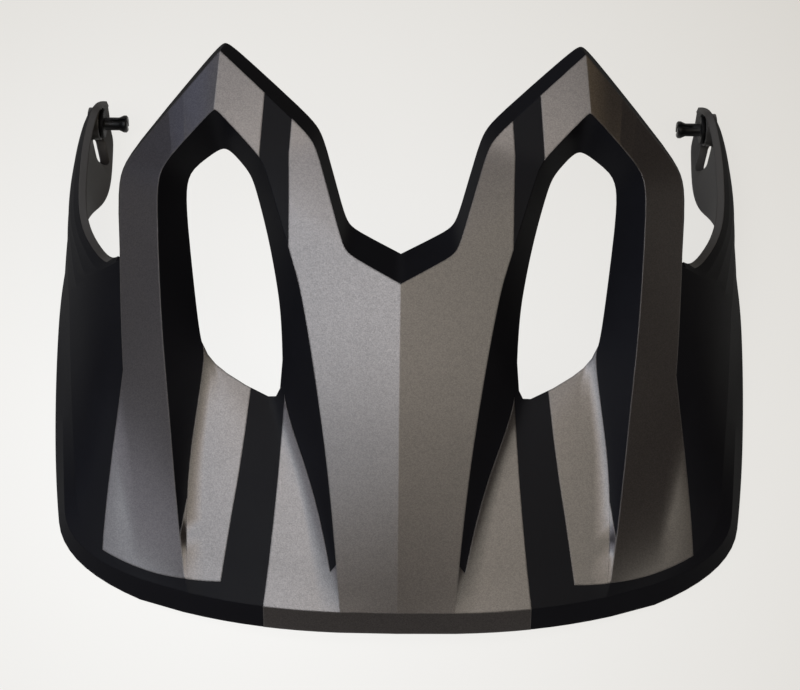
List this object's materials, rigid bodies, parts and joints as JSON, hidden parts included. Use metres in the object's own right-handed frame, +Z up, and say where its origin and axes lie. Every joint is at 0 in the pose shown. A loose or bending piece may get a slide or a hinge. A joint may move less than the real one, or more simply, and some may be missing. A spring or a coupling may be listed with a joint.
{
  "type": "mountain bike helmet visor",
  "caption": "Clip-on sun visor of a mountain bike helmet, with vented wings and two snap pivot studs that turn in its side arms.",
  "frame": {"origin": "middle of the footprint on the table plane that the visor stands on", "axes": "+X to the visor's right arm as seen from above with the lip nearest, +Y from the lip back to the wings and arms, +Z up; the YZ plane is the plane of symmetry"},
  "size_m": [0.2042, 0.1658, 0.0755],
  "materials": {
    "black_shell": "satin black moulded shell",
    "grey_film": "satin metallic grey with a fine grain",
    "black_stud": "semi-gloss black nylon",
    "black_washer": "matt black nylon"
  },
  "bodies": {
    "visor": {"peak_shell": "black_shell", "centre_graphic": "grey_film", "left_wing_graphic": "grey_film", "right_wing_graphic": "grey_film"},
    "left_stud": {"left_pivot_stud": "black_stud", "left_retaining_washer": "black_washer"},
    "right_stud": {"right_pivot_stud": "black_stud", "right_retaining_washer": "black_washer"}
  },
  "joints": [
    {"name": "left_stud_turn", "type": "hinge", "parent": "visor", "child": "left_stud", "pos_m": [-0.0948, 0.0748, 0.0105], "axis": [1, 0, 0], "continuous": true},
    {"name": "right_stud_turn", "type": "hinge", "parent": "visor", "child": "right_stud", "pos_m": [0.0948, 0.0748, 0.0105], "axis": [1, 0, 0], "continuous": true}
  ]
}
